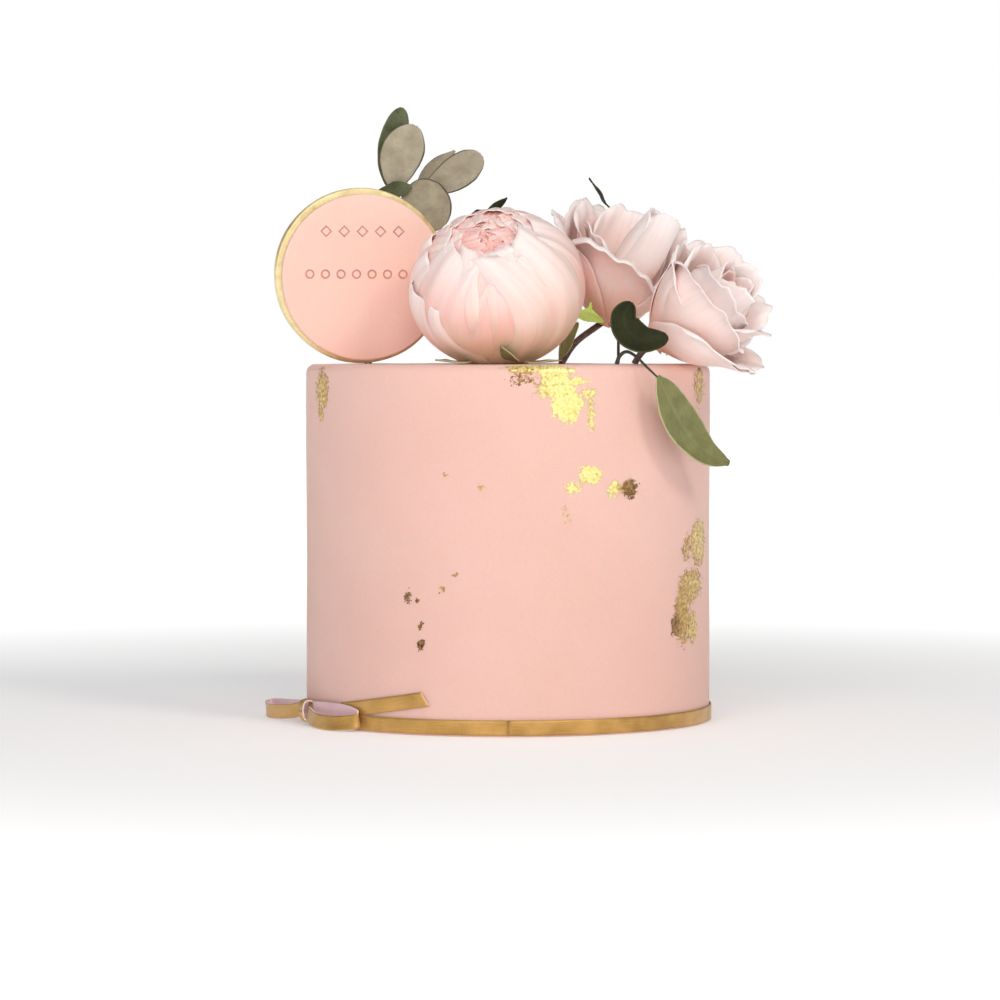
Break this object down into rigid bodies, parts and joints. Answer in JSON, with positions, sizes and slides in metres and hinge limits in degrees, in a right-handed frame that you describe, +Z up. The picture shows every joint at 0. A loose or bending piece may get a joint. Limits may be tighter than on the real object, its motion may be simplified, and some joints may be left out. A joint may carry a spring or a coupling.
{
  "type": "birthday cake with flowers",
  "caption": "Tall round fondant birthday cake with a gold ribbon and bow at its foot, and a peony, roses, leaves and a round plaque on top.",
  "frame": {"origin": "centre of the cake's flat underside", "axes": "+Z up along the cake's axis, -Y towards the front, +X to the right seen from the front"},
  "size_m": [0.2494, 0.2018, 0.3058],
  "materials": {
    "fondant": "smooth matt pink fondant",
    "plaque_fondant": "smooth matt pink fondant",
    "gold_ribbon": "gold satin ribbon",
    "gold_paint": "edible gold paint",
    "petal": "soft pale pink petal",
    "taupe_leaf": "dull grey-brown leaf",
    "dark_leaf": "waxy dark green leaf",
    "olive_leaf": "waxy olive leaf",
    "lime_sepal": "soft lime green",
    "brown_stalk": "dull brown stalk"
  },
  "bodies": {
    "root": {"cake": "fondant", "base_ribbon": "gold_ribbon", "bow_loop_front": "gold_ribbon", "bow_loop_back": "gold_ribbon", "bow_knot": "gold_ribbon", "bow_tail": "gold_ribbon", "plaque_back": "gold_paint", "plaque_face": "plaque_fondant", "peony": "petal", "peony_sepal_1": "olive_leaf", "peony_sepal_2": "olive_leaf", "peony_sepal_3": "olive_leaf", "rose_left": "petal", "rose_left_stalk": "brown_stalk", "rose_right": "petal", "rose_right_stalk": "brown_stalk", "sepal_lime": "lime_sepal", "sepal_long": "olive_leaf", "spray_stalk": "dark_leaf", "leaf_hanging": "olive_leaf", "leaf_dark": "dark_leaf", "leaf_spike": "dark_leaf", "spike_stalk": "dark_leaf", "sprig_stalk_left": "olive_leaf", "sprig_stalk_right": "olive_leaf", "sprig_leaf_1": "dark_leaf", "sprig_leaf_2": "taupe_leaf", "sprig_leaf_3": "dark_leaf", "sprig_leaf_4": "taupe_leaf", "sprig_leaf_5": "taupe_leaf", "sprig_calyx": "olive_leaf", "twig_stalk": "dark_leaf", "twig_leaf_1": "dark_leaf", "twig_leaf_2": "dark_leaf"}
  },
  "joints": []
}
